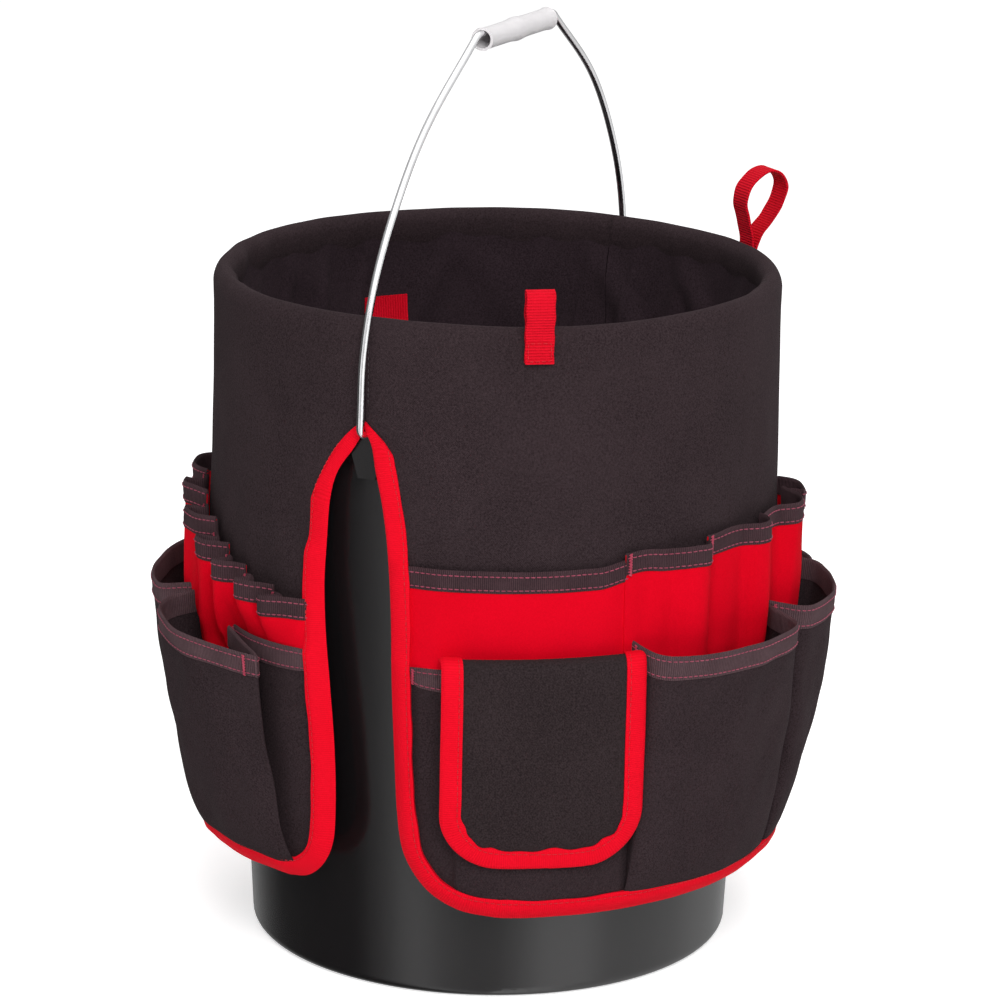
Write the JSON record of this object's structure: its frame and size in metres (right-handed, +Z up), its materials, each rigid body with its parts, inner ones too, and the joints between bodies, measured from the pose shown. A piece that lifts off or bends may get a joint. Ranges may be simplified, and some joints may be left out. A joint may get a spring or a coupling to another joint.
{
  "type": "tool bucket organizer",
  "caption": "Plastic pail with a wire bail, wearing a sewn pocket organizer with stepped tool sleeves, bellows pockets and flap pockets.",
  "frame": {"origin": "centre of the pail's base, on the ground", "axes": "+Z up, X along the bail's pivot axis, front panel faces -Y with its flap pocket towards -X"},
  "size_m": [0.3514, 0.3738, 0.5046],
  "materials": {
    "pail_plastic": "moulded polyethylene, satin gloss",
    "wire": "bright zinc-plated steel wire",
    "grip_plastic": "moulded plastic, slightly translucent",
    "black_cloth": "coated woven polyester, fine weave",
    "lining_cloth": "light woven polyester, soft drape",
    "red_cloth": "woven polyester, matt",
    "red_binding": "ribbed grosgrain tape, matt",
    "mouth_tape": "ribbed tape with pink-red stitching",
    "red_webbing": "woven webbing",
    "hook_tape": "hook tape",
    "loop_tape": "loop tape"
  },
  "bodies": {
    "bucket": {"bucket_shell": "pail_plastic", "rim_collar": "black_cloth", "left_rim_loop": "red_webbing", "right_rim_loop": "red_webbing", "inner_tab": "red_webbing", "front_skirt_panel": "black_cloth", "front_edge_binding": "red_binding", "front_lining_panel": "lining_cloth", "front_tool_band": "red_cloth", "front_band_trim": "mouth_tape", "front_flap_pocket": "black_cloth", "front_flap_pocket_trim": "mouth_tape", "front_first_bellows_pocket": "black_cloth", "front_first_bellows_pocket_trim": "mouth_tape", "front_second_bellows_pocket": "black_cloth", "front_second_bellows_pocket_trim": "mouth_tape", "front_third_bellows_pocket": "black_cloth", "front_third_bellows_pocket_trim": "mouth_tape", "front_end_pocket": "black_cloth", "front_end_pocket_trim": "mouth_tape", "front_pocket_loop_patch": "loop_tape", "rear_skirt_panel": "black_cloth", "rear_edge_binding": "red_binding", "rear_lining_panel": "lining_cloth", "rear_tool_band": "red_cloth", "rear_band_trim": "mouth_tape", "rear_flap_pocket": "black_cloth", "rear_flap_pocket_trim": "mouth_tape", "rear_first_bellows_pocket": "black_cloth", "rear_first_bellows_pocket_trim": "mouth_tape", "rear_second_bellows_pocket": "black_cloth", "rear_second_bellows_pocket_trim": "mouth_tape", "rear_third_bellows_pocket": "black_cloth", "rear_third_bellows_pocket_trim": "mouth_tape", "rear_end_pocket": "black_cloth", "rear_end_pocket_trim": "mouth_tape", "rear_pocket_loop_patch": "loop_tape"},
    "bail": {"bail_wire": "wire"},
    "grip": {"bail_grip": "grip_plastic"},
    "front_flap": {"front_flap": "black_cloth", "front_flap_binding": "red_binding", "front_flap_hook_patch": "hook_tape"},
    "rear_flap": {"rear_flap": "black_cloth", "rear_flap_binding": "red_binding", "rear_flap_hook_patch": "hook_tape"}
  },
  "joints": [
    {"name": "bail_pivot", "type": "hinge", "parent": "bucket", "child": "bail", "pos_m": [0, 0, 0.31], "axis": [1, 0, 0], "range_deg": [-110, 106], "deforming": ["left_rim_loop", "right_rim_loop"]},
    {"name": "grip_spin", "type": "hinge", "parent": "bail", "child": "grip", "pos_m": [0, -0.00788, 0.49813], "axis": [1, 0, 0], "continuous": true},
    {"name": "front_flap_lift", "type": "hinge", "parent": "bucket", "child": "front_flap", "pos_m": [-0.13677, -0.09756, 0.197], "axis": [-0.5807, 0.8141, 0], "range_deg": [0, 150]},
    {"name": "rear_flap_lift", "type": "hinge", "parent": "bucket", "child": "rear_flap", "pos_m": [0.13677, 0.09756, 0.197], "axis": [0.5807, -0.8141, 0], "range_deg": [0, 150]}
  ]
}
